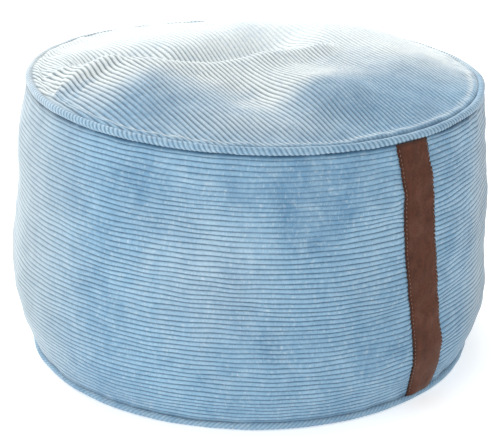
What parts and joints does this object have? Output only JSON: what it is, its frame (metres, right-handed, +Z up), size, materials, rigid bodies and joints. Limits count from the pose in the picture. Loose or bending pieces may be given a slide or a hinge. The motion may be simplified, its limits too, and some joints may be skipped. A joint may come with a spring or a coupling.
{
  "type": "bean bag seat",
  "caption": "Low round floor bean bag seat with a piped wide-wale corduroy cover, a suede strip down the side, a zipped base and an inner bag of polystyrene beads.",
  "frame": {"origin": "centre of the round base, on the surface the seat stands on", "axes": "+Z up, -Y towards the suede strip, X along the base zip, which is closed at its +X end"},
  "size_m": [0.4998, 0.5017, 0.3235],
  "materials": {
    "corduroy": "matte",
    "piping_corduroy": "matte",
    "suede": "matte",
    "strip_thread": "satin",
    "cotton_cord": "matte",
    "zip_tape": "matte",
    "zip_coil": "satin",
    "zip_metal": "satin",
    "liner_calico": "matte",
    "liner_tape": "matte",
    "beads": "matte"
  },
  "bodies": {
    "seat": {"top_panel": "corduroy", "side_band": "corduroy", "base_panel_front": "corduroy", "base_panel_rear": "corduroy", "top_piping_cover": "piping_corduroy", "base_piping_cover": "piping_corduroy", "top_piping_cord": "cotton_cord", "base_piping_cord": "cotton_cord", "suede_strip": "suede", "strip_stitching_left": "strip_thread", "strip_stitching_right": "strip_thread", "zip_tape_front": "zip_tape", "zip_tape_rear": "zip_tape", "zip_coil_front": "zip_coil", "zip_coil_rear": "zip_coil", "zip_top_stops": "zip_metal", "zip_bottom_stop": "zip_metal", "zip_stitching": "strip_thread", "liner_top": "liner_calico", "liner_side": "liner_calico", "liner_base": "liner_calico", "liner_zip_tapes": "liner_tape", "liner_zip_coils": "liner_tape", "liner_zip_stops": "zip_metal", "bead_filling": "beads"},
    "slider": {"zip_slider": "zip_metal"},
    "pull": {"zip_pull": "zip_metal"},
    "liner_slider": {"liner_zip_slider": "zip_metal"}
  },
  "joints": [
    {"name": "base_zip_slide", "type": "slide", "parent": "seat", "child": "slider", "axis": [-1, 0, 0], "range_m": [0, 0.353]},
    {"name": "pull_swing", "type": "hinge", "parent": "slider", "child": "pull", "pos_m": [0.1765, 0, 0.0021], "axis": [0, -1, 0], "range_deg": [0, 180]},
    {"name": "liner_zip_slide", "type": "slide", "parent": "seat", "child": "liner_slider", "axis": [-1, 0, 0], "range_m": [0, 0.225]}
  ]
}
